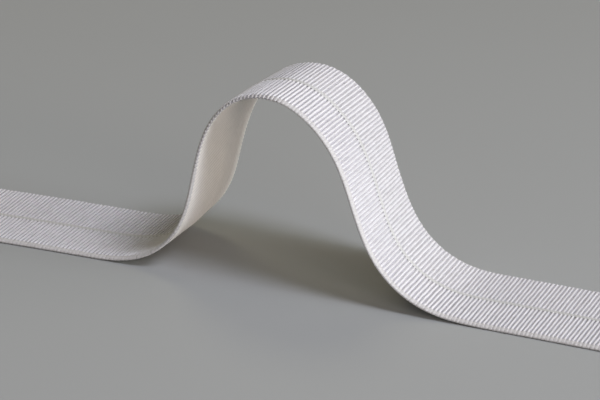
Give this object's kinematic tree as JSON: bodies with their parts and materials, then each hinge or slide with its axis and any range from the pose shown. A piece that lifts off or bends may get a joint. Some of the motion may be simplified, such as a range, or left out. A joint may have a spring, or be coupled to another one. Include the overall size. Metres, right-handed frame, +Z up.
{
  "type": "length of fold-over elastic",
  "caption": "Cut length of white fold-over elastic with satin cross ribs either side of a fold line, lying flat at both ends and standing up in one tall hump between them.",
  "frame": {"origin": "centre of the bounding box in X and Y, on the surface that the elastic lies on", "axes": "+X along the elastic, from the steeper foot of the hump to the gentler one; +Y from the edge with the firm selvedge to the plain edge; +Z up, the ribbed face upwards where it lies flat"},
  "size_m": [0.114, 0.0262, 0.0305],
  "materials": {
    "elastic_fabric": "white satin ribbed elastic with a faint lilac tint, matt knit underside"
  },
  "bodies": {
    "root": {"elastic_strip": "elastic_fabric"}
  },
  "joints": []
}
